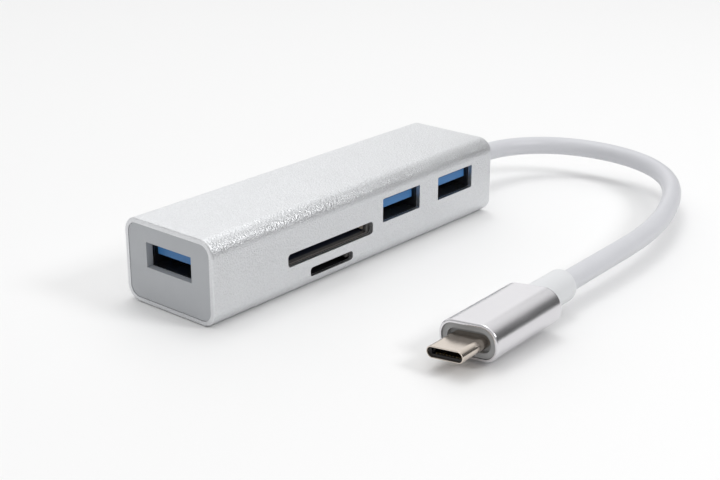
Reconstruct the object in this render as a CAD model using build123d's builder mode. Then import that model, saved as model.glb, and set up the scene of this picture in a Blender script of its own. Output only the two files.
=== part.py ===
"""USB hub: an aluminium sleeve round a board with three USB-A sockets, a large and a small
card socket, and a captive lead that ends in a USB-C plug.

Frame: X runs along the hub with the end socket at -X and the lead at +X, the side sockets
face -Y, +Z is up, and the origin is the middle of the underside. Millimetres throughout.
"""
from build123d import *
import math
import os

os.makedirs("parts", exist_ok=True)


def save(builder, name):
    """Label a finished piece and write it as its own node."""
    builder.part.label = name
    export_step(builder.part, f"parts/{name}.step")


# ---------------------------------------------------------------- driving dimensions
# Case
hub_length = 90.3
hub_width = 25.0
hub_height = 17.8
corner_radius = 3.3
shell_wall = 1.0
edge_break = 0.2
cap_thickness = 1.6
cap_recess = 0.1
skirt_length = 3.0
skirt_wall = 1.0

# Fits
slide_fit = 0.05
running_fit = 0.07
end_gap = 0.2
port_gap = 0.2
cut_margin = 0.5

# Board and carrier
board_bottom = 4.5
board_thickness = 1.6
board_side_gap = 0.7
board_corner = 1.0
board_end_margin = 2.3
tray_floor = 0.8
rail_width = 2.2
boss_radius = 2.0
screw_radius = 0.8
screw_head_radius = 1.5
screw_head_height = 1.2
screw_length = 3.4
screw_hole_play = 0.1
screw_socket_gap = 0.3
screw_edge_gap = 0.6
recess_width = 0.4
recess_length = 1.8
recess_depth = 0.6
skirt_board_gap = 0.5

# USB-A sockets
side_port_x = (11.65, 31.1)
window_side_margin = 0.15
window_rim_margin = 0.125
window_corner = 0.3
window_z = 10.75
port_z = 10.65
port_width = 13.1
port_height = 5.7
port_corner = 0.5
port_depth = 14.0
port_sheet = 0.3
port_block = 3.5
tongue_width = 11.1
tongue_thickness = 1.84
tongue_rise = 0.85
tongue_setback = 0.5
contact_sheet = 0.2
leaf_length = 5.0
leaf_width = 2.0
leaf_slot = 0.35
leaf_across = 3.2
leaf_start = 3.0
leg_width = 1.5
leg_depths = (3.0, 10.0)
riser_play = 0.05
power_contacts = (-3.5, -1.0, 1.0, 3.5)
power_contact_width = 1.0
power_contact_start = 3.4
power_leg_gap = 0.5
signal_contacts = (-4.0, -2.0, 0.0, 2.0, 4.0)
signal_contact_width = 0.6
signal_pad_start = 1.2
signal_pad_end = 3.0
signal_leg_gap = 1.0

# Card sockets
slot_x = -11.3
card_slot_side = 1.0
card_slot_rim = 0.25
card_slot_corner = 0.8
card_slot_z = 7.94
card_cavity_width = 24.4
card_cavity_height = 2.3
card_socket_depth = 20.7
card_socket_wall = 1.2
card_contact_pitch = 2.5
card_contact_width = 1.1
card_contact_peak = 5.2
card_contact_rise = 0.9
card_contact_tip = 6.6
card_tip_rise = 0.5
card_contact_slot = 6.8
card_tail = 0.8
contact_root = 0.5
contact_slot_play = 0.15
lock_sheet = 0.2
lock_height = 1.7
lock_length = 8.0
lock_foot = 1.6
lock_setback = 0.8
lock_pocket = 0.7
lock_reach = 0.1
cover_sheet = 0.2
cover_tab_width = 1.6
cover_tab_length = 6.6
cover_tab_gap = 0.4
cover_tab_y = 6.0
small_slot_side = 1.0
small_slot_rim = 0.475
small_slot_corner = 0.7
small_slot_z = 3.58
small_cavity_width = 11.2
small_cavity_height = 1.05
small_socket_depth = 16.4
small_socket_wall = 0.5
small_contact_pitch = 1.1
small_contact_edge = 0.85
small_contact_width = 0.6
small_contact_peak = 5.6
small_contact_tip = 6.8
small_tip_rise = 0.2
small_contact_slot = 7.0
small_contact_root = 1.4
small_cover_setback = 3.0
small_window_width = 5.0
small_window_length = 2.0
small_window_y = 5.0
channel_width = 2.1
channel_divider = 0.4
slider_length = 4.4
slider_travel = 4.0
finger_reach = 2.2
finger_length = 1.4
spring_length = 6.4
spring_coil_radius = 0.36
spring_wire = 0.16
spring_turns = 9

# Components on the board, each body as length, width and height
hub_chip = (6.0, 6.0, 0.9)
reader_chip = (5.0, 5.0, 0.9)
crystal_can = (3.2, 2.5, 0.7)
regulator_body = (3.0, 1.7, 1.1)
chip_capacitor = (1.6, 0.8, 0.8)
chip_resistor = (1.6, 0.8, 0.5)
package_chamfer = 0.1
component_shift = 0.3
hub_chip_offset = 1.5
reader_chip_offset = 4.5
crystal_offset = (4.7, 1.4)
regulator_offset = 2.0
capacitor_offset = 2.0
capacitor_pitch = 2.2
resistor_offset = 5.6
resistor_pitch = 1.3

# Lead
cord_diameter = 4.4
cord_z = 9.0
grommet_wall = 1.1
anchor_size = 7.0
anchor_corner = 1.0
anchor_inset = 0.3
cord_board_gap = 0.5
conductor_diameter = 0.75
conductor_pitch = 0.85
conductor_reach = 1.9
conductor_bend = 1.0

# USB-C plug
plug_width = 13.3
plug_height = 7.4
plug_corner = 3.5
plug_length = 21.05
plug_wall = 0.6
plug_rear_wall = 1.2
plug_rounding = 0.4
plug_x = -24.75
plug_y = -57.15
plug_pitch = math.radians(2.0)
plug_roll = math.radians(7.0)
floor_gap = 0.05
neck_radius = 3.4
neck_length = 10.75
neck_root = 3.0
neck_end_rounding = 0.8
wire_bore_radius = 1.7
cord_into_neck = 8.2
last_bend_gap = 22.5
tip_width = 8.25
tip_height = 2.4
tip_length = 6.95
tip_root = 4.5
tip_sheet = 0.2
tip_edge = 0.08
core_length = 15.0
insert_recess = 0.35
tip_recess_margin = 0.8
tip_recess_depth = 1.0
pocket_width = 9.6
pocket_height = 4.2
mating_width = 6.7
mating_height = 1.2
mating_depth = 5.3
insulator_setback = 0.6
contact_setback = 1.1
tip_contact_sheet = 0.15
tip_contact_width = 0.25
tip_contact_pitch = 0.75
latch_sheet = 0.15
latch_height = 0.6
latch_setback = 0.8
paddle_length = 8.0
paddle_gap = 0.1
paddle_lap = 2.4
wire_lap = 2.0
round_margin = 0.01

# ---------------------------------------------------------------- derived levels and planes
board_top = board_bottom + board_thickness
centre_z = hub_height / 2
inner_width = hub_width - 2 * shell_wall
inner_height = hub_height - 2 * shell_wall
inner_radius = corner_radius - shell_wall
board_width = inner_width - 2 * board_side_gap
window_width = port_width - 2 * port_sheet + 2 * window_side_margin
window_height = port_height - 2 * port_sheet + 2 * window_rim_margin
card_slot_width = card_cavity_width + 2 * card_slot_side
card_slot_height = card_cavity_height + 2 * card_slot_rim
small_slot_width = small_cavity_width + 2 * small_slot_side
small_slot_height = small_cavity_height + 2 * small_slot_rim
cap_inner_x = hub_length / 2 - cap_recess - cap_thickness
front_plane = Plane(origin=(-hub_length / 2, 0, centre_z), x_dir=(0, 1, 0), z_dir=(1, 0, 0))
rear_plane = Plane(origin=(hub_length / 2, 0, centre_z), x_dir=(0, -1, 0), z_dir=(-1, 0, 0))
port_side = Plane.XZ.offset(hub_width / 2)
socket_mouth_y = -hub_width / 2 + shell_wall + port_gap


# ---------------------------------------------------------------- case
def aluminium_case():
    """Extruded sleeve, open at both ends, with four cut-outs in the -Y wall."""
    with BuildPart() as sleeve:
        with BuildSketch(front_plane):
            RectangleRounded(hub_width, hub_height, corner_radius)
        extrude(amount=hub_length)
        end_edges = sleeve.edges().group_by(Axis.X)
        chamfer(end_edges[0] + end_edges[-1], edge_break)
        with BuildSketch(front_plane):
            RectangleRounded(inner_width, inner_height, inner_radius)
        extrude(amount=hub_length, mode=Mode.SUBTRACT)
        with BuildSketch(port_side):
            with Locations(*[(x, window_z) for x in side_port_x]):
                RectangleRounded(window_width, window_height, window_corner)
            with Locations((slot_x, card_slot_z)):
                RectangleRounded(card_slot_width, card_slot_height, card_slot_corner)
            with Locations((slot_x, small_slot_z)):
                RectangleRounded(small_slot_width, small_slot_height, small_slot_corner)
        extrude(amount=-(shell_wall + cut_margin), mode=Mode.SUBTRACT)
    return sleeve


def end_cap(end, opening):
    """Plate that closes one end, with a skirt that grips the sleeve above the board."""
    face = end.offset(cap_recess)
    cap_width = inner_width - 2 * slide_fit
    cap_height = inner_height - 2 * slide_fit
    cap_corner = inner_radius - slide_fit
    skirt_bottom = board_top + skirt_board_gap - (centre_z - cap_height / 2)
    with BuildPart() as cap:
        with BuildSketch(face):
            RectangleRounded(cap_width, cap_height, cap_corner)
        extrude(amount=cap_thickness)
        with BuildSketch(face.offset(cap_thickness)):
            RectangleRounded(cap_width, cap_height, cap_corner)
            RectangleRounded(
                cap_width - 2 * skirt_wall,
                cap_height - 2 * skirt_wall,
                cap_corner - skirt_wall,
                mode=Mode.SUBTRACT,
            )
            with Locations((0, (skirt_bottom - cap_height) / 2)):
                Rectangle(cap_width, skirt_bottom, mode=Mode.SUBTRACT)
        extrude(amount=skirt_length)
        with BuildSketch(face):
            add(opening)
        extrude(amount=cap_thickness, mode=Mode.SUBTRACT)
    return cap


usb_window = Pos(0, window_z - centre_z) * Rectangle(window_width, window_height)
cable_hole = Pos(0, cord_z - centre_z) * Circle(cord_diameter / 2 + grommet_wall)

aluminium_shell = aluminium_case()
save(aluminium_shell, "aluminium_shell")
front_end_cap = end_cap(front_plane, usb_window)
save(front_end_cap, "front_end_cap")
rear_end_cap = end_cap(rear_plane, cable_hole)
save(rear_end_cap, "rear_end_cap")

# ---------------------------------------------------------------- carrier, board and screws
# The four screws stand in the gaps between the sockets.
card_cover_x = slot_x - card_cavity_width / 2 - card_socket_wall - cover_sheet
front_screw_x = card_cover_x - screw_head_radius - screw_socket_gap
rear_screw_x = (side_port_x[0] + side_port_x[1]) / 2
screw_y = board_width / 2 - screw_head_radius - screw_edge_gap
screw_places = [(x, y) for x in (front_screw_x, rear_screw_x) for y in (-screw_y, screw_y)]

small_socket_left = slot_x - small_cavity_width / 2 - small_socket_wall
channel_left = slot_x + small_cavity_width / 2 + channel_divider
small_socket_right = channel_left + channel_width + small_socket_wall
small_socket_width = small_socket_right - small_socket_left
small_socket_x = (small_socket_left + small_socket_right) / 2

tray_length = 2 * (cap_inner_x - end_gap)
tray_floor_top = shell_wall + slide_fit + tray_floor
rail_inner = inner_width / 2 - slide_fit - rail_width
with BuildPart() as inner_tray:
    with BuildSketch(Plane.YZ.offset(-tray_length / 2)):
        with Locations((0, centre_z)):
            RectangleRounded(
                inner_width - 2 * slide_fit,
                inner_height - 2 * slide_fit,
                inner_radius - slide_fit,
            )
        with Locations((0, board_bottom + hub_height / 2)):
            Rectangle(hub_width, hub_height, mode=Mode.SUBTRACT)
        with Locations((0, (tray_floor_top + board_bottom) / 2)):
            Rectangle(2 * rail_inner, board_bottom - tray_floor_top, mode=Mode.SUBTRACT)
    extrude(amount=tray_length)
    with BuildSketch(Plane.XY.offset(tray_floor_top)):
        with Locations(*screw_places):
            Circle(boss_radius)
    extrude(amount=board_bottom - tray_floor_top)
    with BuildSketch(Plane.XY.offset(tray_floor_top)):
        with Locations((small_socket_x, -hub_width / 2)):
            Rectangle(small_socket_width + 2 * cut_margin, 2 * (hub_width / 2 - rail_inner))
    extrude(amount=board_bottom - tray_floor_top, mode=Mode.SUBTRACT)
    with BuildSketch(Plane.XY.offset(board_bottom)):
        with Locations(*screw_places):
            Circle(screw_radius)
    extrude(amount=-(screw_length - board_thickness), mode=Mode.SUBTRACT)
save(inner_tray, "inner_tray")

board_front = -(hub_length / 2 - board_end_margin)
board_back = cap_inner_x - board_end_margin
with BuildPart() as circuit_board:
    with BuildSketch(Plane.XY.offset(board_bottom)):
        with Locations(((board_front + board_back) / 2, 0)):
            RectangleRounded(board_back - board_front, board_width, board_corner)
        with Locations(*screw_places):
            Circle(screw_radius + screw_hole_play, mode=Mode.SUBTRACT)
    extrude(amount=board_thickness)
save(circuit_board, "circuit_board")

with BuildPart() as board_screws:
    with BuildSketch(Plane.XY.offset(board_top)):
        with Locations(*screw_places):
            Circle(screw_head_radius)
    extrude(amount=screw_head_height)
    with BuildSketch(Plane.XY.offset(board_top)):
        with Locations(*screw_places):
            Circle(screw_radius)
    extrude(amount=-screw_length)
    with BuildSketch(Plane.XY.offset(board_top + screw_head_height)):
        with Locations(*screw_places):
            Rectangle(recess_length, recess_width)
            Rectangle(recess_width, recess_length)
    extrude(amount=-recess_depth, mode=Mode.SUBTRACT)
save(board_screws, "board_screws")

# ---------------------------------------------------------------- USB-A sockets
def bent_contacts(side_view, places, width, points):
    """Flat strips of contact sheet, bent along the same points at each place across."""
    with BuildPart() as contacts:
        for place in places:
            with BuildSketch(side_view.offset(place)):
                with BuildLine():
                    Polyline(*points)
                trace(line_width=contact_sheet)
            extrude(amount=width / 2, both=True)
    return contacts


def usb_socket(name, mouth):
    """One socket on its mouth plane: x across, y up and z into the hub."""
    drop = port_z - board_top
    across_view = Plane(origin=mouth.origin, x_dir=mouth.z_dir, z_dir=mouth.y_dir)
    side_view = Plane(origin=mouth.origin, x_dir=mouth.z_dir, z_dir=-mouth.x_dir)
    bore_width = port_width - 2 * port_sheet
    bore_height = port_height - 2 * port_sheet

    with BuildPart() as shell:
        with BuildSketch(mouth):
            RectangleRounded(port_width, port_height, port_corner)
        extrude(amount=port_depth)
        for depth in leg_depths:
            with BuildSketch(mouth.offset(depth)):
                for side in (-1, 1):
                    with Locations((side * (port_width - port_sheet) / 2, -drop / 2)):
                        Rectangle(port_sheet, drop)
            extrude(amount=leg_width)
        with BuildSketch(mouth):
            Rectangle(bore_width, bore_height)
        extrude(amount=port_depth, mode=Mode.SUBTRACT)
        with BuildSketch(across_view):
            for side in (-1, 1):
                with Locations((leaf_start + leaf_length / 2, side * leaf_across)):
                    Rectangle(leaf_length, leaf_width + 2 * leaf_slot)
                with Locations((leaf_start + leaf_length / 2 - leaf_slot, side * leaf_across)):
                    Rectangle(leaf_length, leaf_width, mode=Mode.SUBTRACT)
        extrude(amount=port_height, both=True, mode=Mode.SUBTRACT)
    save(shell, f"{name}_shell")

    tongue_low = tongue_rise - tongue_thickness / 2
    strip = contact_sheet / 2
    power = bent_contacts(
        side_view,
        power_contacts,
        power_contact_width,
        [
            (tongue_setback + power_contact_start, tongue_low - strip),
            (port_depth + power_leg_gap, tongue_low - strip),
            (port_depth + power_leg_gap, -drop),
        ],
    )
    signal = bent_contacts(
        side_view,
        signal_contacts,
        signal_contact_width,
        [
            (tongue_setback + signal_pad_start, tongue_low - strip),
            (tongue_setback + signal_pad_end, tongue_low - strip),
            (tongue_setback + signal_pad_end, tongue_rise),
            (port_depth + signal_leg_gap, tongue_rise),
            (port_depth + signal_leg_gap, -drop),
        ],
    )
    with BuildPart() as contacts:
        add(power.part)
        add(signal.part)
    save(contacts, f"{name}_contacts")

    with BuildPart() as housing:
        with BuildSketch(mouth.offset(port_depth - port_block)):
            Rectangle(bore_width - 2 * slide_fit, bore_height - 2 * slide_fit)
        extrude(amount=port_block)
        with BuildSketch(mouth.offset(tongue_setback)):
            with Locations((0, tongue_rise)):
                Rectangle(tongue_width, tongue_thickness)
        extrude(amount=port_depth - tongue_setback)
        add(contacts.part, mode=Mode.SUBTRACT)
    save(housing, f"{name}_housing")

    riser_height = drop - port_height / 2
    riser_y = -drop + riser_height / 2
    with BuildPart() as riser:
        with BuildSketch(mouth):
            with Locations((0, riser_y)):
                Rectangle(bore_width - 2 * riser_play, riser_height)
        extrude(amount=port_depth)
    save(riser, f"{name}_riser")


end_mouth = Plane(
    origin=(-cap_inner_x + port_gap, 0, port_z),
    x_dir=(0, 1, 0),
    z_dir=(1, 0, 0),
)
usb_socket("end_port", end_mouth)
for number, x in enumerate(side_port_x, start=1):
    side_mouth = Plane(origin=(x, socket_mouth_y, port_z), x_dir=(-1, 0, 0), z_dir=(0, 1, 0))
    usb_socket(f"side_port_{number}", side_mouth)

# ---------------------------------------------------------------- large card socket
card_floor_top = card_slot_z - card_cavity_height / 2
card_roof = card_slot_z + card_cavity_height / 2
card_outer_width = card_cavity_width + 2 * card_socket_wall
card_rear_y = socket_mouth_y + card_socket_depth
card_inner_rear_y = card_rear_y - card_socket_wall
card_contact_x = [slot_x + step * card_contact_pitch for step in range(-4, 5)]

card_contacts = bent_contacts(
    Plane.YZ,
    card_contact_x,
    card_contact_width,
    [
        (card_rear_y + card_tail, board_top + contact_sheet / 2),
        (card_inner_rear_y - contact_root, board_top + contact_sheet / 2),
        (card_rear_y - card_contact_peak, card_floor_top + card_contact_rise),
        (card_rear_y - card_contact_tip, card_floor_top + card_tip_rise),
    ],
)
save(card_contacts, "card_socket_contacts")

# A strip spring in a pocket of the +X wall grips the card by its edge.
card_wall_x = slot_x + card_cavity_width / 2
lock_x = card_wall_x + lock_pocket - slide_fit - lock_sheet / 2
lock_front_y = socket_mouth_y + lock_setback
with BuildPart() as card_lock_spring:
    with BuildSketch(Plane.XY.offset(card_slot_z - lock_height / 2)):
        with BuildLine():
            Polyline(
                (lock_x, lock_front_y),
                (lock_x, lock_front_y + lock_foot),
                (card_wall_x - lock_reach + lock_sheet / 2, lock_front_y + lock_length / 2),
                (lock_x, lock_front_y + lock_length - lock_foot),
                (lock_x, lock_front_y + lock_length),
            )
        trace(line_width=lock_sheet)
    extrude(amount=lock_height)
save(card_lock_spring, "card_lock_spring")

with BuildPart() as card_socket_base:
    with BuildSketch(Plane.XY.offset(board_top)):
        with Locations((slot_x, socket_mouth_y + card_socket_depth / 2)):
            Rectangle(card_outer_width, card_socket_depth)
    extrude(amount=card_roof - board_top)
    with BuildSketch(Plane.XY.offset(card_floor_top)):
        with Locations((slot_x, (socket_mouth_y + card_inner_rear_y) / 2)):
            Rectangle(card_cavity_width, card_inner_rear_y - socket_mouth_y)
    extrude(amount=card_cavity_height, mode=Mode.SUBTRACT)
    with BuildSketch(Plane.XY.offset(card_slot_z - lock_height / 2 - slide_fit)):
        with Locations((card_wall_x, lock_front_y + lock_length / 2)):
            Rectangle(2 * lock_pocket, lock_length + 2 * slide_fit)
    extrude(amount=lock_height + 2 * slide_fit, mode=Mode.SUBTRACT)
    contact_slot_width = card_contact_width + 2 * contact_slot_play
    with BuildSketch(Plane.XY.offset(board_top)):
        for x in card_contact_x:
            with Locations((x, card_inner_rear_y - card_contact_slot / 2)):
                Rectangle(contact_slot_width, card_contact_slot)
    extrude(amount=card_floor_top - board_top, mode=Mode.SUBTRACT)
    with BuildSketch(Plane.XY.offset(board_top)):
        for x in card_contact_x:
            with Locations((x, card_rear_y - card_socket_wall / 2)):
                Rectangle(contact_slot_width, card_socket_wall)
    extrude(amount=contact_sheet + contact_slot_play, mode=Mode.SUBTRACT)
save(card_socket_base, "card_socket_base")

cover_height = card_roof + cover_sheet - board_top
with BuildPart() as card_socket_cover:
    with BuildSketch(Plane.XZ.offset(-socket_mouth_y)):
        with Locations((slot_x, board_top + cover_height / 2)):
            Rectangle(card_outer_width + 2 * cover_sheet, cover_height)
        with Locations((slot_x, board_top + (cover_height - cover_sheet) / 2)):
            Rectangle(card_outer_width, cover_height - cover_sheet, mode=Mode.SUBTRACT)
    extrude(amount=-card_socket_depth)
    with BuildSketch(Plane.XY.offset(card_roof)):
        for side in (-1, 1):
            with Locations((slot_x + side * card_cavity_width / 3, card_rear_y - cover_tab_y)):
                Rectangle(cover_tab_width + 2 * cover_tab_gap, cover_tab_length + cover_tab_gap)
                with Locations((0, -cover_tab_gap / 2)):
                    Rectangle(cover_tab_width, cover_tab_length, mode=Mode.SUBTRACT)
    extrude(amount=cover_sheet, mode=Mode.SUBTRACT)
save(card_socket_cover, "card_socket_cover")

# ---------------------------------------------------------------- small card socket
# It hangs under the board, so its base is above the card and its sheet cover below.
small_floor = small_slot_z - small_cavity_height / 2
small_roof = small_slot_z + small_cavity_height / 2
small_rear_y = socket_mouth_y + small_socket_depth
channel_x = channel_left + channel_width / 2
spring_seat_y = small_rear_y - small_socket_wall
slider_rear_y = spring_seat_y - spring_length
slider_front_y = slider_rear_y - slider_length
finger_front_y = slider_rear_y - finger_length
first_contact_x = slot_x - small_cavity_width / 2 + small_contact_edge
small_contact_x = [first_contact_x + step * small_contact_pitch for step in range(8)]

small_contacts = bent_contacts(
    Plane.YZ,
    small_contact_x,
    small_contact_width,
    [
        (small_rear_y + card_tail, board_bottom - contact_sheet / 2),
        (spring_seat_y - small_contact_root, board_bottom - contact_sheet / 2),
        (small_rear_y - small_contact_peak, small_slot_z),
        (small_rear_y - small_contact_tip, small_slot_z + small_tip_rise),
    ],
)
save(small_contacts, "small_card_socket_contacts")

with BuildPart() as small_card_socket_base:
    with BuildSketch(Plane.XY.offset(small_floor)):
        with Locations((small_socket_x, socket_mouth_y + small_socket_depth / 2)):
            Rectangle(small_socket_width, small_socket_depth)
    extrude(amount=board_bottom - small_floor)
    with BuildSketch(Plane.XY.offset(small_floor)):
        with Locations((slot_x, (socket_mouth_y + spring_seat_y) / 2)):
            Rectangle(small_cavity_width, spring_seat_y - socket_mouth_y)
        with Locations((channel_x, (slider_front_y - end_gap + spring_seat_y) / 2)):
            Rectangle(channel_width, spring_seat_y - slider_front_y + end_gap)
        finger_gap = spring_seat_y - finger_front_y + end_gap
        with Locations((channel_left - channel_divider / 2, spring_seat_y - finger_gap / 2)):
            Rectangle(channel_divider, finger_gap)
    extrude(amount=small_cavity_height, mode=Mode.SUBTRACT)
    small_slot_across = small_contact_width + 2 * contact_slot_play
    with BuildSketch(Plane.XY.offset(small_roof)):
        for x in small_contact_x:
            with Locations((x, spring_seat_y - small_contact_slot / 2)):
                Rectangle(small_slot_across, small_contact_slot)
    extrude(amount=board_bottom - small_roof, mode=Mode.SUBTRACT)
    with BuildSketch(Plane.XY.offset(board_bottom)):
        for x in small_contact_x:
            with Locations((x, small_rear_y - small_socket_wall / 2)):
                Rectangle(small_slot_across, small_socket_wall)
    extrude(amount=-(contact_sheet + contact_slot_play), mode=Mode.SUBTRACT)
save(small_card_socket_base, "small_card_socket_base")

small_cover_height = board_bottom - small_floor + cover_sheet
with BuildPart() as small_card_socket_cover:
    with BuildSketch(Plane.XZ.offset(-(socket_mouth_y + small_cover_setback))):
        with Locations((small_socket_x, board_bottom - small_cover_height / 2)):
            Rectangle(small_socket_width + 2 * cover_sheet, small_cover_height)
        with Locations((small_socket_x, board_bottom - (small_cover_height - cover_sheet) / 2)):
            Rectangle(small_socket_width, small_cover_height - cover_sheet, mode=Mode.SUBTRACT)
    extrude(amount=-(small_socket_depth - small_cover_setback))
    with BuildSketch(Plane.XY.offset(small_floor)):
        with Locations((slot_x, small_rear_y - small_window_y)):
            Rectangle(small_window_width, small_window_length)
    extrude(amount=-cover_sheet, mode=Mode.SUBTRACT)
save(small_card_socket_cover, "small_card_socket_cover")

slider_height = small_cavity_height - 2 * running_fit
with BuildPart() as ejector_slider:
    with BuildSketch(Plane.XY.offset(small_floor + running_fit)):
        with Locations((channel_x, slider_front_y + slider_length / 2)):
            Rectangle(channel_width - 2 * running_fit, slider_length)
        with Locations((channel_x - finger_reach / 2, slider_rear_y - finger_length / 2)):
            Rectangle(channel_width - 2 * running_fit + finger_reach, finger_length)
    extrude(amount=slider_height)
save(ejector_slider, "ejector_slider")

spring_pitch = (spring_length - spring_wire - 2 * slide_fit) / spring_turns
with BuildPart() as ejector_spring:
    with BuildLine() as coil:
        Helix(
            pitch=spring_pitch,
            height=spring_pitch * spring_turns,
            radius=spring_coil_radius,
            center=(channel_x, slider_rear_y + spring_wire / 2 + slide_fit, small_slot_z),
            direction=(0, 1, 0),
        )
    with BuildSketch(Plane(origin=coil.line @ 0, z_dir=coil.line % 0)):
        Circle(spring_wire / 2)
    sweep(is_frenet=True)
save(ejector_spring, "ejector_spring")


# ---------------------------------------------------------------- components on the board
def board_block(name, places, length, width, height, chamfer_size=0.0):
    """Rectangular components that stand on the top of the board."""
    with BuildPart() as block:
        with BuildSketch(Plane.XY.offset(board_top)):
            with Locations(*places):
                Rectangle(length, width)
        extrude(amount=height)
        if chamfer_size > 0:
            chamfer(block.faces().sort_by(Axis.Z)[-1].edges(), chamfer_size)
    save(block, name)


port_legs_y = socket_mouth_y + port_depth + signal_leg_gap
component_y = (port_legs_y + board_width / 2) / 2 + component_shift
hub_chip_x = side_port_x[0] - hub_chip_offset
reader_chip_x = side_port_x[1] - reader_chip_offset
crystal_place = (rear_screw_x - crystal_offset[0], component_y + crystal_offset[1])
regulator_x = side_port_x[1] + regulator_offset
capacitor_y = component_y - capacitor_offset
capacitor_places = [(rear_screw_x + step * capacitor_pitch, capacitor_y) for step in (-2.5, -1.5, -0.5, 0.5)]
resistor_x = side_port_x[1] + resistor_offset
resistor_places = [(resistor_x, component_y + step * resistor_pitch) for step in (-1.5, -0.5, 0.5, 1.5)]
board_block("hub_controller_chip", [(hub_chip_x, component_y)], *hub_chip, package_chamfer)
board_block("card_reader_chip", [(reader_chip_x, component_y)], *reader_chip, package_chamfer)
board_block("clock_crystal", [crystal_place], *crystal_can, package_chamfer)
board_block("voltage_regulator", [(regulator_x, component_y)], *regulator_body, package_chamfer)
board_block("capacitors", capacitor_places, *chip_capacitor)
board_block("resistors", resistor_places, *chip_resistor)

# ---------------------------------------------------------------- plug frame and lead
plug_axis = Vector(-math.cos(plug_pitch), 0, -math.sin(plug_pitch))
plug_up = Vector(-math.sin(plug_pitch), 0, math.cos(plug_pitch))
plug_across = Vector(0, -1, 0) * math.cos(plug_roll) + plug_up * math.sin(plug_roll)
# Height of the axis when the rolled sleeve lies on its lower corner.
plug_rest = (
    (plug_width / 2 - plug_corner) * math.sin(plug_roll)
    + (plug_height / 2 - plug_corner) * math.cos(plug_roll)
    + plug_corner
)
plug_face = Plane(
    origin=(plug_x, plug_y, plug_rest * math.cos(plug_pitch) + floor_gap),
    x_dir=plug_across,
    z_dir=plug_axis,
)

cord_start_x = board_back + cord_board_gap
cord_inner_end = plug_face.origin - plug_axis * (plug_length + neck_length - cord_into_neck)
cord_last_bend = plug_face.origin - plug_axis * (plug_length + last_bend_gap)
cord_points = [
    Vector(cord_start_x, 0, cord_z),
    Vector(55.8, 0, cord_z),
    Vector(70.0, -1.2, 8.3),
    Vector(80.9, -8.9, 7.6),
    Vector(86.0, -20.9, 6.9),
    Vector(84.3, -33.8, 6.4),
    Vector(76.2, -43.9, 5.9),
    Vector(62.0, -51.0, 5.5),
    Vector(43.4, -56.1, 5.5),
    cord_last_bend,
    cord_inner_end,
]


def bend_radii(points):
    """Largest tangent arc for each corner, 0.45 of its shorter run."""
    radii = []
    for before, corner, after in zip(points, points[1:], points[2:]):
        run_in = corner - before
        run_out = after - corner
        half_turn = math.radians(run_in.get_angle(run_out)) / 2
        radii.append(0.45 * min(run_in.length, run_out.length) / math.tan(half_turn))
    return radii


cord_radii = bend_radii(cord_points)
with BuildPart() as cord:
    with BuildLine() as cord_path:
        FilletPolyline(*cord_points, radius=cord_radii)
    with BuildSketch(Plane(origin=cord_path.line @ 0, z_dir=cord_path.line % 0)):
        Circle(cord_diameter / 2)
    sweep()
save(cord, "cord")
cord_length = sum(edge.length for edge in cord_path.edges())
cord_section = math.pi * cord_diameter**2 / 4
print("cord length", round(cord_length, 2), "radii", [round(r, 1) for r in cord_radii])
print("cord volume", round(cord.part.volume, 1), "section x length", round(cord_section * cord_length, 1))

with BuildPart() as cable_grommet:
    with BuildSketch(rear_plane.offset(cap_recess)):
        with Locations((0, cord_z - centre_z)):
            Circle(cord_diameter / 2 + grommet_wall - slide_fit)
            Circle(cord_diameter / 2, mode=Mode.SUBTRACT)
    extrude(amount=cap_thickness)
save(cable_grommet, "cable_grommet")

anchor_length = cap_inner_x - cord_start_x - anchor_inset
with BuildPart() as cord_anchor:
    with BuildSketch(rear_plane.offset(cap_recess + cap_thickness)):
        with Locations((0, cord_z - centre_z)):
            RectangleRounded(anchor_size, anchor_size, anchor_corner)
            Circle(cord_diameter / 2, mode=Mode.SUBTRACT)
    extrude(amount=anchor_length)
save(cord_anchor, "cord_anchor")

solder_x = cord_start_x - conductor_reach
with BuildPart() as cord_conductors:
    for step in (-1.5, -0.5, 0.5, 1.5):
        y = step * conductor_pitch
        with BuildLine() as wire_path:
            FilletPolyline(
                (cord_start_x, y, cord_z),
                (solder_x, y, cord_z),
                (solder_x, y, board_top),
                radius=conductor_bend,
            )
        with BuildSketch(Plane(origin=wire_path.line @ 0, z_dir=wire_path.line % 0)):
            Circle(conductor_diameter / 2)
        sweep(path=wire_path.line)
save(cord_conductors, "cord_conductors")

# ---------------------------------------------------------------- USB-C plug
along_plug = Axis(plug_face.origin, plug_axis)
sleeve_bore = (plug_width - 2 * plug_wall, plug_height - 2 * plug_wall, plug_corner - plug_wall)
with BuildPart() as plug_sleeve:
    with BuildSketch(plug_face):
        RectangleRounded(plug_width, plug_height, plug_corner)
    extrude(amount=-plug_length)
    end_faces = plug_sleeve.faces().sort_by(along_plug)
    fillet(end_faces[0].edges() + end_faces[-1].edges(), plug_rounding)
    with BuildSketch(plug_face):
        RectangleRounded(*sleeve_bore)
    extrude(amount=-(plug_length - plug_rear_wall), mode=Mode.SUBTRACT)
    with BuildSketch(plug_face.offset(-plug_length)):
        Circle(neck_radius + slide_fit)
    extrude(amount=plug_rear_wall, mode=Mode.SUBTRACT)
save(plug_sleeve, "plug_sleeve")

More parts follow.
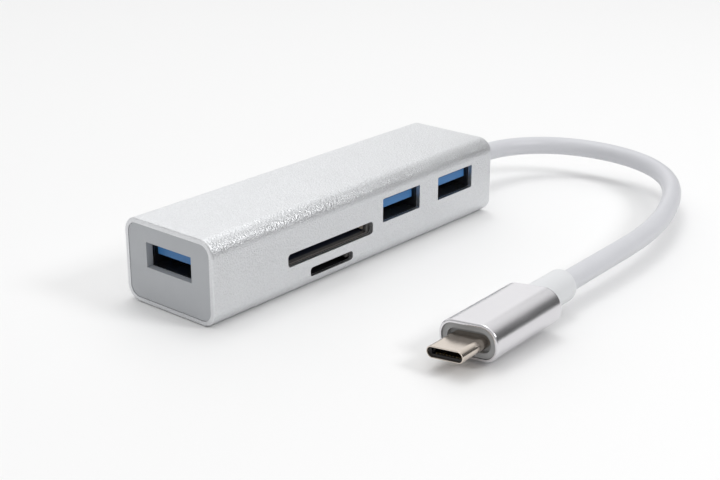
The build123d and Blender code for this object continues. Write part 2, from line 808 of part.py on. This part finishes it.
tip_corner = tip_height / 2 - round_margin
tip_bore_width = tip_width - 2 * tip_sheet
tip_bore_height = tip_height - 2 * tip_sheet
tip_bore_corner = tip_bore_height / 2 - round_margin
with BuildPart() as plug_core:
    with BuildSketch(plug_face.offset(-insert_recess)):
        RectangleRounded(
            sleeve_bore[0] - 2 * slide_fit,
            sleeve_bore[1] - 2 * slide_fit,
            sleeve_bore[2] - slide_fit,
        )
    extrude(amount=-core_length)
    with BuildSketch(plug_face.offset(-insert_recess)):
        RectangleRounded(
            tip_width + 2 * tip_recess_margin,
            tip_height + 2 * tip_recess_margin,
            tip_corner + tip_recess_margin,
        )
    extrude(amount=-tip_recess_depth, mode=Mode.SUBTRACT)
    with BuildSketch(plug_face):
        RectangleRounded(tip_width, tip_height, tip_corner)
    extrude(amount=-tip_root, mode=Mode.SUBTRACT)
    with BuildSketch(plug_face.offset(-tip_root)):
        Rectangle(pocket_width, pocket_height)
    extrude(amount=-core_length, mode=Mode.SUBTRACT)
save(plug_core, "plug_core")

with BuildPart() as plug_neck:
    with BuildSketch(plug_face.offset(-(plug_length - plug_rear_wall))):
        Circle(neck_radius)
    extrude(amount=-(plug_rear_wall + neck_length))
    with BuildSketch(plug_face.offset(-(plug_length - plug_rear_wall))):
        Circle(sleeve_bore[1] / 2 - slide_fit)
    extrude(amount=neck_root)
    neck_end = plug_neck.faces().sort_by(along_plug)[0]
    fillet(neck_end.edges(), neck_end_rounding)
    with BuildSketch(plug_face.offset(-(plug_length - plug_rear_wall - neck_root))):
        Circle(wire_bore_radius)
    extrude(amount=-(plug_rear_wall + neck_root + neck_length), mode=Mode.SUBTRACT)
    with BuildSketch(plug_face.offset(-(plug_length + neck_length))):
        Circle(cord_diameter / 2)
    extrude(amount=cord_into_neck, mode=Mode.SUBTRACT)
save(plug_neck, "plug_neck")

with BuildPart() as plug_tip:
    with BuildSketch(plug_face.offset(-tip_root)):
        RectangleRounded(tip_width, tip_height, tip_corner)
        RectangleRounded(tip_bore_width, tip_bore_height, tip_bore_corner, mode=Mode.SUBTRACT)
    extrude(amount=tip_root + tip_length)
    tip_mouth = plug_tip.faces().sort_by(along_plug)[-1]
    fillet(tip_mouth.outer_wire().edges(), tip_edge)
save(plug_tip, "plug_tip")

paddle_thickness = mating_height - 2 * tip_contact_sheet
tip_contact_places = [
    (column * tip_contact_pitch, side * (mating_height - tip_contact_sheet) / 2)
    for column in (-3.5, -2.5, -1.5, -0.5, 0.5, 1.5, 2.5, 3.5)
    for side in (-1, 1)
]
with BuildPart() as plug_contacts:
    with BuildSketch(plug_face.offset(-(tip_root + paddle_gap + paddle_lap))):
        with Locations(*tip_contact_places):
            Rectangle(tip_contact_width, tip_contact_sheet)
    extrude(amount=tip_root + paddle_gap + paddle_lap + tip_length - contact_setback)
save(plug_contacts, "plug_contacts")

with BuildPart() as plug_insulator:
    with BuildSketch(plug_face.offset(-tip_root)):
        RectangleRounded(tip_bore_width, tip_bore_height, tip_bore_corner)
    extrude(amount=tip_root + tip_length - insulator_setback)
    with BuildSketch(plug_face.offset(tip_length - insulator_setback)):
        Rectangle(mating_width, mating_height)
    extrude(amount=-mating_depth, mode=Mode.SUBTRACT)
    add(plug_contacts.part, mode=Mode.SUBTRACT)
save(plug_insulator, "plug_insulator")

with BuildPart() as plug_latch_springs:
    with BuildSketch(plug_face.offset(tip_length - insulator_setback - mating_depth)):
        for side in (-1, 1):
            with Locations((side * (mating_width - latch_sheet) / 2, 0)):
                Rectangle(latch_sheet, latch_height)
    extrude(amount=mating_depth - latch_setback)
save(plug_latch_springs, "plug_latch_springs")

with BuildPart() as plug_board:
    with BuildSketch(plug_face.offset(-(tip_root + paddle_gap))):
        Rectangle(pocket_width - 2 * slide_fit, paddle_thickness)
    extrude(amount=-paddle_length)
save(plug_board, "plug_board")

plug_wire_start = tip_root + paddle_gap + paddle_length - wire_lap
plug_wire_end = plug_length + neck_length - cord_into_neck
with BuildPart() as plug_conductors:
    with BuildSketch(plug_face.offset(-plug_wire_start)):
        for column in (-0.5, 0.5):
            for side in (-1, 1):
                wire_y = side * (paddle_thickness + conductor_diameter) / 2
                with Locations((column * conductor_pitch, wire_y)):
                    Circle(conductor_diameter / 2)
    extrude(amount=-(plug_wire_end - plug_wire_start))
save(plug_conductors, "plug_conductors")
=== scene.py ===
# %% [markdown]
# # A small aluminium hub with a captive lead
#
# The maker's drawing of the hub is already there as solid pieces in metres. This lesson
# keeps every one of them where it is, gives each its finish, lays the lead as one smooth
# curve, and sets the hub on a pale table under soft light.

# %% Load the solid pieces
import math

import bpy
from mathutils import Matrix, Vector


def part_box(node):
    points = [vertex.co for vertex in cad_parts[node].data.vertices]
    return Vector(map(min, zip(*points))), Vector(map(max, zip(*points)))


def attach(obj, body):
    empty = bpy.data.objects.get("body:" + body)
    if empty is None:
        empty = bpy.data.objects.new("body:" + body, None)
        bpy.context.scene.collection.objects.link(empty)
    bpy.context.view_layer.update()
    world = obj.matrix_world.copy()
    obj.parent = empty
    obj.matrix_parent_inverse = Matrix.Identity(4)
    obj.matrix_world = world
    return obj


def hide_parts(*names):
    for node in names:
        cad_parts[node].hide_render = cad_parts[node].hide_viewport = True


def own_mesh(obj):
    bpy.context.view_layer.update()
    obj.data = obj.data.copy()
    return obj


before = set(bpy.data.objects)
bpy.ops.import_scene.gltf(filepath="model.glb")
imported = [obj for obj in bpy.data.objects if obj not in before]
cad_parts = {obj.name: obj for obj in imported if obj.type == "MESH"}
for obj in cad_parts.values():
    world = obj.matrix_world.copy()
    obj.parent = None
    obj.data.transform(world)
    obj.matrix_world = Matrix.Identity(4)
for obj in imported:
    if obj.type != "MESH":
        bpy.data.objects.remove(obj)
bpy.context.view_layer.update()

print("pieces:", len(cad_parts))

# %% [markdown]
# ## Camera
#
# A long lens from a little above the table keeps the case's long edges nearly parallel,
# as in catalogue pictures. The camera could be aimed with a Track To constraint, but a
# turn about Z, a tilt about X and a hair of roll say the same in three plain numbers.

# %% Aim the camera
look_at = Vector((0.00015, -0.01036, 0.005))
camera_distance = 0.2922
camera_turn = math.radians(-49.633)
camera_height_angle = math.radians(20.739)
camera_roll = math.radians(0.1155)

camera_data = bpy.data.cameras.new("camera")
camera_data.lens = 68.045
camera_data.sensor_width = 36.0
camera_data.clip_start = 0.01
camera = bpy.data.objects.new("camera", camera_data)
bpy.context.scene.collection.objects.link(camera)
camera_turned = (
    Matrix.Rotation(camera_turn, 4, "Z")
    @ Matrix.Rotation(math.pi / 2 - camera_height_angle, 4, "X")
    @ Matrix.Rotation(camera_roll, 4, "Z")
)
camera_place = look_at + camera_turned.col[2].xyz * camera_distance
camera.matrix_world = Matrix.Translation(camera_place) @ camera_turned
bpy.context.scene.camera = camera
print("camera at", [round(v, 4) for v in camera.matrix_world.translation])

# %% [markdown]
# ## The lead
#
# The lead is a round jacket, stiff enough to stand a few millimetres off the table
# between the case and the plug. A bevelled curve is the natural tool, because its
# section stays round however it bends. A NURBS spline of order three through few control
# points gives one smooth line; a Bezier curve would need a handle at every point. The
# tube's thickness sits in the points' own radius, with a bevel of one, because a curve's
# bounds grow by its points' radius, which would otherwise be a metre.

# %% Lay the lead
millimetre = 0.001
cord_radius = 2.2 * millimetre
cord_route = [
    (41.65, 0.0, 9.0),
    (55.8, 0.0, 9.0),
    (70.0, -1.2, 8.3),
    (80.9, -8.9, 7.6),
    (86.0, -20.9, 6.9),
    (84.3, -33.8, 6.4),
    (76.2, -43.9, 5.9),
    (62.0, -51.0, 5.5),
    (43.4, -56.1, 5.5),
    (18.77, -57.15, 5.65),
    (-1.17, -57.15, 4.95),
]
cord_curve = bpy.data.curves.new("lead", "CURVE")
cord_curve.dimensions = "3D"
cord_curve.resolution_u = 16
cord_curve.bevel_depth = 1.0
cord_curve.bevel_resolution = 8
cord_curve.use_fill_caps = True
line = cord_curve.splines.new("NURBS")
line.points.add(len(cord_route) - 1)
for point, place in zip(line.points, cord_route):
    point.co = (*[step * millimetre for step in place], 1.0)
    point.radius = cord_radius
line.order_u = 3
line.use_endpoint_u = True
lead = bpy.data.objects.new("lead", cord_curve)
bpy.context.scene.collection.objects.link(lead)
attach(lead, "hub")
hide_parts("cord")
print("lead laid through", len(cord_route), "points")

# %% [markdown]
# ## The ejector's spring
#
# The small card's push-push slider is sprung by a coil, which shortens as the slider goes
# in. The drawn one is rigid, so it is wound again here: the wire's round section is swept
# by a Screw modifier round the coil's axis. A curve would do too, but the modifier states
# turns and pitch directly.

# %% Wind the spring
spring_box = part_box("ejector_spring")
spring_axis = [(low + high) / 2 for low, high in zip(*spring_box)]
wire_radius = 0.08 * millimetre
spring_turns = 9
coil_radius = (spring_box[1][0] - spring_box[0][0]) / 2 - wire_radius
spring_length = spring_box[1][1] - spring_box[0][1] - 2 * wire_radius

bpy.ops.object.select_all(action="DESELECT")
bpy.ops.mesh.primitive_circle_add(vertices=10, radius=wire_radius, fill_type="NOTHING")
spring = bpy.context.object
spring.name = "spring_wire"
bpy.ops.object.mode_set(mode="EDIT")
bpy.ops.mesh.select_all(action="SELECT")
bpy.ops.transform.translate(value=(coil_radius, 0.0, 0.0))
bpy.ops.object.mode_set(mode="OBJECT")
winding = spring.modifiers.new("winding", "SCREW")
winding.axis = "Y"
winding.screw_offset = spring_length / spring_turns
winding.iterations = spring_turns
winding.steps = winding.render_steps = 18
bpy.ops.object.modifier_apply(modifier=winding.name)
bpy.ops.object.mode_set(mode="EDIT")
bpy.ops.mesh.select_all(action="DESELECT")
bpy.ops.mesh.select_non_manifold()
bpy.ops.mesh.fill_holes(sides=0)
bpy.ops.mesh.select_all(action="SELECT")
bpy.ops.mesh.normals_make_consistent(inside=False)
low_end = spring_box[0][1] + wire_radius
bpy.ops.transform.translate(value=(spring_axis[0], low_end, spring_axis[2]))
bpy.ops.object.mode_set(mode="OBJECT")
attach(spring, "hub")
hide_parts("ejector_spring")
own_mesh(spring)
print("spring wound:", spring_turns, "turns,", len(spring.data.vertices), "points")

# %% [markdown]
# ## A small language for finishes
#
# A finish is a tree of shader nodes. Wired by hand it soon turns into a web, so two small
# classes keep it readable: a `Signal` wraps a socket and lets Python's own sums add Math
# nodes, and a `Finish` holds one material and adds every other kind of node.

# %% Signals and finishes
class Signal:
    """A number that varies over the surface, ready for ordinary sums."""

    def __init__(self, finish, socket):
        self.finish = finish
        self.socket = socket

    def sum_with(self, operation, first, second):
        node = self.finish.add("ShaderNodeMath", {"operation": operation}, {0: first, 1: second})
        return Signal(self.finish, node.outputs[0])

    def __add__(self, other):
        return self.sum_with("ADD", self, other)

    def __radd__(self, other):
        return self.sum_with("ADD", other, self)

    def __sub__(self, other):
        return self.sum_with("SUBTRACT", self, other)

    def __rsub__(self, other):
        return self.sum_with("SUBTRACT", other, self)

    def __mul__(self, other):
        return self.sum_with("MULTIPLY", self, other)

    def __rmul__(self, other):
        return self.sum_with("MULTIPLY", other, self)


class Wiring:
    """Any tree of shader nodes, with one way to add a node."""

    def __init__(self, tree):
        self.tree = tree

    def add(self, kind, settings=None, inputs=None):
        node = self.tree.nodes.new(kind)
        for name, value in (settings or {}).items():
            if name == "stops":
                self.set_stops(node.color_ramp, value)
            else:
                setattr(node, name, value)
        for name, value in (inputs or {}).items():
            self.feed(node.inputs[name], value)
        return node

    def set_stops(self, ramp, stops):
        while len(ramp.elements) < len(stops):
            ramp.elements.new(0.5)
        for element, (position, color) in zip(ramp.elements, stops):
            element.position = position
            element.color = (*color, 1.0)

    def feed(self, socket, value):
        if isinstance(value, Signal):
            value = value.socket
        if isinstance(value, bpy.types.NodeSocket):
            self.tree.links.new(value, socket)
        else:
            socket.default_value = value

    def smooth_step(self, value, low, high):
        """0 below `low`, 1 above `high`, and a smooth climb between."""
        node = self.add(
            "ShaderNodeMapRange",
            {"interpolation_type": "SMOOTHSTEP"},
            {"Value": value, "From Min": low, "From Max": high},
        )
        return Signal(self, node.outputs[0])


class Finish(Wiring):
    """One material, with its main shader."""

    def __init__(self, name, **fixed):
        self.material = bpy.data.materials.new(name)
        self.material.use_nodes = True
        super().__init__(self.material.node_tree)
        self.shader = self.tree.nodes["Principled BSDF"]
        self.place = self.add("ShaderNodeTexCoord").outputs["Object"]
        for socket, value in fixed.items():
            self.shader.inputs[socket.replace("_", " ")].default_value = value

    def noise(self, size, detail=2.0, roughness=0.5, stretch=(1.0, 1.0, 1.0)):
        """Cloudy noise whose blotches are about `size` metres across."""
        mapped = self.add("ShaderNodeMapping", {}, {"Vector": self.place, "Scale": stretch})
        node = self.add(
            "ShaderNodeTexNoise",
            {},
            {
                "Vector": mapped.outputs[0],
                "Scale": 1.0 / size,
                "Detail": detail,
                "Roughness": roughness,
            },
        )
        return Signal(self, node.outputs["Fac"])

    def grains(self, size):
        """One random value for each grain of about `size` metres."""
        node = self.add(
            "ShaderNodeTexVoronoi", {"feature": "F1"}, {"Vector": self.place, "Scale": 1.0 / size}
        )
        split = self.add("ShaderNodeSeparateColor", {}, {"Color": node.outputs["Color"]})
        return Signal(self, split.outputs[0])

    def blend(self, mask, low, high):
        """A colour from `low` to `high` as the mask goes from 0 to 1."""
        node = self.add("ShaderNodeMix", {"data_type": "RGBA"}, {0: mask})
        node.inputs[6].default_value = (*low, 1.0)
        node.inputs[7].default_value = (*high, 1.0)
        return node.outputs[2]

    def color(self, value):
        self.feed(self.shader.inputs["Base Color"], value)

    def roughness(self, value):
        self.feed(self.shader.inputs["Roughness"], value)

    def relief(self, height, depth):
        """Bump of `depth` metres from a height signal."""
        node = self.add("ShaderNodeBump", {}, {"Height": height, "Distance": depth})
        self.feed(self.shader.inputs["Normal"], node.outputs[0])


print("finishes ready")

# %% [markdown]
# ## Bead-blasted aluminium
#
# The sleeve and the plug's body are blasted with glass beads and clear anodised, so the
# metal glitters in grains of a few tenths of a millimetre under a soft sheen, finer on the
# plug. A plain rough metal looks like paint; random grain brightness plus a little relief
# gives the sparkle.

# %% Aluminium
def blasted_aluminium(name, dark, light, grain, rough, depth):
    finish = Finish(name, Metallic=1.0)
    sparkle = finish.noise(grain, detail=2.0, roughness=0.6)
    cloud = finish.noise(0.012, detail=2.0)
    finish.color(finish.blend(finish.grains(grain) * 0.5 + cloud * 0.5, dark, light))
    finish.roughness(rough - 0.05 + cloud * 0.10)
    finish.relief(sparkle, depth)
    return finish.material


case_metal = blasted_aluminium(
    "blasted_aluminium", (0.69, 0.70, 0.715), (0.77, 0.78, 0.795), 0.00036, 0.35, 0.00016
)
plug_metal = blasted_aluminium(
    "satin_aluminium", (0.70, 0.69, 0.71), (0.75, 0.74, 0.76), 0.00016, 0.25, 0.00001
)
print("metals:", case_metal.name, plug_metal.name)

# %% [markdown]
# ## Moulded plastics
#
# The end plates, sockets and the lead's jacket are moulded. A mould leaves a faint,
# even texture and slow changes of gloss, so each plastic shares one recipe with its own
# colour, grain and roughness.

# %% Plastics
def moulded(name, dark, light, rough, grain=0.0003, depth=0.000006):
    finish = Finish(name, Specular_IOR_Level=0.45)
    pebble = finish.noise(grain, detail=3.0)
    cloud = finish.noise(0.006, detail=2.0)
    finish.color(finish.blend(cloud * 0.7 + pebble * 0.3, dark, light))
    finish.roughness(rough - 0.06 + cloud * 0.12)
    finish.relief(pebble, depth)
    return finish.material


cap_grey = moulded("grey_cap_plastic", (0.42, 0.435, 0.455), (0.50, 0.515, 0.535), 0.50)
black_plastic = moulded("black_plastic", (0.010, 0.010, 0.012), (0.022, 0.022, 0.025), 0.42)
tongue_blue = moulded("blue_tongue_plastic", (0.028, 0.15, 0.39), (0.042, 0.20, 0.47), 0.36)
jacket_white = moulded(
    "white_jacket", (0.60, 0.605, 0.635), (0.65, 0.655, 0.685), 0.40, 0.0005, 0.000008
)
neck_white = moulded(
    "white_neck", (0.68, 0.69, 0.705), (0.73, 0.74, 0.755), 0.34, 0.0005, 0.000006
)
spring_beige = moulded("beige_lever", (0.80, 0.67, 0.53), (0.90, 0.78, 0.64), 0.40)
plug_grey = moulded("grey_plug_insert", (0.34, 0.345, 0.35), (0.40, 0.405, 0.41), 0.46)
chip_black = moulded("chip_package", (0.020, 0.020, 0.022), (0.035, 0.035, 0.038), 0.55, 0.0002)
ceramic = moulded("ceramic_body", (0.36, 0.27, 0.18), (0.48, 0.38, 0.27), 0.45, 0.0002)
print("plastics ready")

# %% [markdown]
# ## Sheet metal, contacts and board
#
# Card covers are tin-plated sheet and socket shells dark nickel, both with fine rolling
# lines; contacts are gold over nickel, and the board is a green mask over copper tracks
# that show as faint relief. The large card's socket is dark inside, with painted light at
# its lip: a paler grey where light reaches the mouth.

# %% Card socket
def lit_mouth(name, deep, mouth_light, mouth_light_start, mouth_light_end):
    """Dark plastic with painted light: paler at the mouth, where light reaches it."""
    finish = Finish(name, Specular_IOR_Level=0.35)
    split = finish.add("ShaderNodeSeparateXYZ", {}, {0: finish.place})
    inside = finish.smooth_step(Signal(finish, split.outputs[1]), mouth_light_start, mouth_light_end)
    # Painted light: the pale colour at the mouth fades to the dark plastic deeper in.
    finish.color(finish.blend(inside, mouth_light, deep))
    finish.roughness(0.55 + inside * 0.1)
    return finish.material


mouth_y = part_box("card_socket_base")[0][1]
# The painted light at the mouth fades out between these two depths.
mouth_light_start = mouth_y + 1.0 * millimetre
mouth_light_end = mouth_y + 1.4 * millimetre
# The second colour is painted light at the mouth, not the plastic's own colour.
card_black = lit_mouth(
    "card_socket_plastic", (0.006, 0.012, 0.030), (0.11, 0.105, 0.10), mouth_light_start, mouth_light_end
)
print("card socket's mouth at", round(mouth_y, 4))

# %% Sheet metal
def rolled_sheet(name, dark, light, rough, stretch):
    finish = Finish(name, Metallic=1.0)
    lines = finish.noise(0.0002, detail=2.0, stretch=stretch)
    stain = finish.noise(0.004, detail=3.0)
    finish.color(finish.blend(stain * 0.6 + lines * 0.4, dark, light))
    finish.roughness(rough - 0.05 + lines * 0.12)
    finish.relief(lines, 0.000003)
    return finish.material


along_y = (1.0, 0.1, 1.0)
tin_plate = rolled_sheet("tin_plate", (0.55, 0.54, 0.52), (0.72, 0.71, 0.69), 0.30, along_y)
dark_nickel = rolled_sheet("dark_nickel", (0.20, 0.20, 0.21), (0.28, 0.28, 0.29), 0.34, along_y)
gold = rolled_sheet(
    "gold_contact", (0.72, 0.52, 0.22), (0.90, 0.70, 0.36), 0.24, (1.0, 0.2, 1.0)
)
steel = rolled_sheet(
    "plain_steel", (0.46, 0.46, 0.47), (0.62, 0.62, 0.63), 0.34, (1.0, 1.0, 0.2)
)
nickel = rolled_sheet(
    "warm_nickel", (0.60, 0.535, 0.47), (0.70, 0.63, 0.56), 0.20, (0.1, 1.0, 1.0)
)
copper = rolled_sheet(
    "tinned_copper", (0.60, 0.36, 0.22), (0.80, 0.52, 0.36), 0.32, (0.2, 1.0, 1.0)
)

# %% Board
def green_board():
    finish = Finish("green_board", Specular_IOR_Level=0.5)
    tracks = finish.add(
        "ShaderNodeTexVoronoi",
        {"feature": "F1", "distance": "MANHATTAN"},
        {"Vector": finish.place, "Scale": 900.0},
    )
    track = Signal(finish, tracks.outputs["Distance"])
    finish.color(finish.blend(track, (0.010, 0.075, 0.035), (0.020, 0.135, 0.065)))
    finish.roughness(0.30 + track * 0.12)
    finish.relief(track, 0.00002)
    return finish.material


board_green = green_board()
print("sheet metals and board ready")

# %% [markdown]
# ## Dress every piece
#
# Each piece takes one finish, chosen by name. Words in a piece's name say what it is, so
# a short list of words does for all three sockets at once.

# %% Give each piece its finish
finish_by_word = [
    ("aluminium_shell", case_metal),
    ("plug_sleeve", plug_metal),
    ("end_cap", cap_grey),
    ("cable_grommet", cap_grey),
    ("plug_core", plug_grey),
    ("plug_neck", neck_white),
    ("plug_tip", nickel),
    ("latch", nickel),
    ("lock_spring", spring_beige),
    ("card_socket_base", card_black),
    ("contacts", gold),
    ("_housing", tongue_blue),
    ("conductors", copper),
    ("spring", steel),
    ("screws", steel),
    ("crystal", steel),
    ("_cover", tin_plate),
    ("port_1_shell", dark_nickel),
    ("port_2_shell", dark_nickel),
    ("end_port_shell", dark_nickel),
    ("chip", chip_black),
    ("regulator", chip_black),
    ("resistors", chip_black),
    ("capacitors", ceramic),
    ("board", board_green),
    ("", black_plastic),
]


def finish_for(name):
    return next(finish for word, finish in finish_by_word if word in name)


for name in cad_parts:
    piece = bpy.data.objects[name]
    piece.data.materials.clear()
    piece.data.materials.append(finish_for(name))
cord_curve.materials.append(jacket_white)
spring.data.materials.append(steel)
print("dressed", len(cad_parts), "pieces")

# %% [markdown]
# ## Table and light
#
# Catalogue pictures stand the object on a white sweep, and a large plane does for that.
# Polished and blasted metal shows the room more than its own colour, so the world is a
# room: brighter on the far side, which the tops mirror, dimmer on the near side, with one
# dark band beyond the sockets that draws the rounded edges. The camera itself sees plain
# white. Two soft square lamps add the shadows: one low at the side and one high behind.

# %% Table
bpy.ops.object.select_all(action="DESELECT")
bpy.ops.mesh.primitive_plane_add(size=6.0, location=(0.0, 0.0, -0.0001))
table = bpy.context.object
table.name = "table"
table_finish = Finish("white_table")
table_finish.color((0.885, 0.885, 0.885, 1.0))
table_finish.roughness(0.75)
table.data.materials.append(table_finish.material)

# %% World
def towards(way):
    """How far the direction points that way: 1 straight at it, 0 across it."""
    node = room.add(
        "ShaderNodeVectorMath", {"operation": "DOT_PRODUCT"}, {0: direction, 1: way}
    )
    return Signal(room, node.outputs["Value"])


near_wall_level = 0.50
far_wall_level = 1.10
far_side = (0.76, 0.65, 0.0)
ceiling_level = 1.05
band_level = 0.10
band_side = (0.78, -0.62, 0.0)
world = bpy.data.worlds.new("white_room")
bpy.context.scene.world = world
world.use_nodes = True
room = Wiring(world.node_tree)
background = world.node_tree.nodes["Background"]
direction = room.add("ShaderNodeTexCoord").outputs["Generated"]
height = Signal(room, room.add("ShaderNodeSeparateXYZ", {}, {0: direction}).outputs[2])
far_share = room.smooth_step(towards(far_side), 0.1, 0.85)
wall_level = near_wall_level + far_share * (far_wall_level - near_wall_level)
ceiling = room.smooth_step(height, 0.55, 0.95)
open_level = wall_level * (1.0 - ceiling) + ceiling * ceiling_level
band_width = room.smooth_step(towards(band_side), 0.22, 0.52)
band = band_width * (1.0 - room.smooth_step(height, 0.46, 0.64))
lit = open_level * (1.0 - band) + band * band_level
seen = Signal(room, room.add("ShaderNodeLightPath").outputs["Is Camera Ray"])
room.feed(background.inputs["Strength"], lit * (1.0 - seen) + seen)
background.inputs["Color"].default_value = (1.0, 1.0, 1.0, 1.0)
print("world wired with", len(world.node_tree.nodes), "nodes")


# %% Lamps
def soft_lamp(name, place, aim, side, watts):
    """A square lamp, `side` metres wide, that shines from its place to its aim."""
    lamp_data = bpy.data.lights.new(name, "AREA")
    lamp_data.shape = "SQUARE"
    lamp_data.size = side
    lamp_data.energy = watts
    lamp = bpy.data.objects.new(name, lamp_data)
    bpy.context.scene.collection.objects.link(lamp)
    beam = Vector(aim) - Vector(place)
    lamp.rotation_euler = beam.to_track_quat("-Z", "Y").to_euler()
    lamp.location = place


soft_lamp("side_lamp", (0.20, -0.61, 0.48), (0.0, -0.01, 0.01), side=0.2, watts=1.75)
soft_lamp("back_lamp", (0.14, 0.17, 0.83), (0.0, 0.0, 0.0), side=0.4, watts=1.35)
print("lamps set")

# %% [markdown]
# ## Finish
#
# The picture keeps plain colours: no film look and no exposure change.

# %% Colours
bpy.context.scene.view_settings.view_transform = "Standard"
bpy.context.view_layer.update()
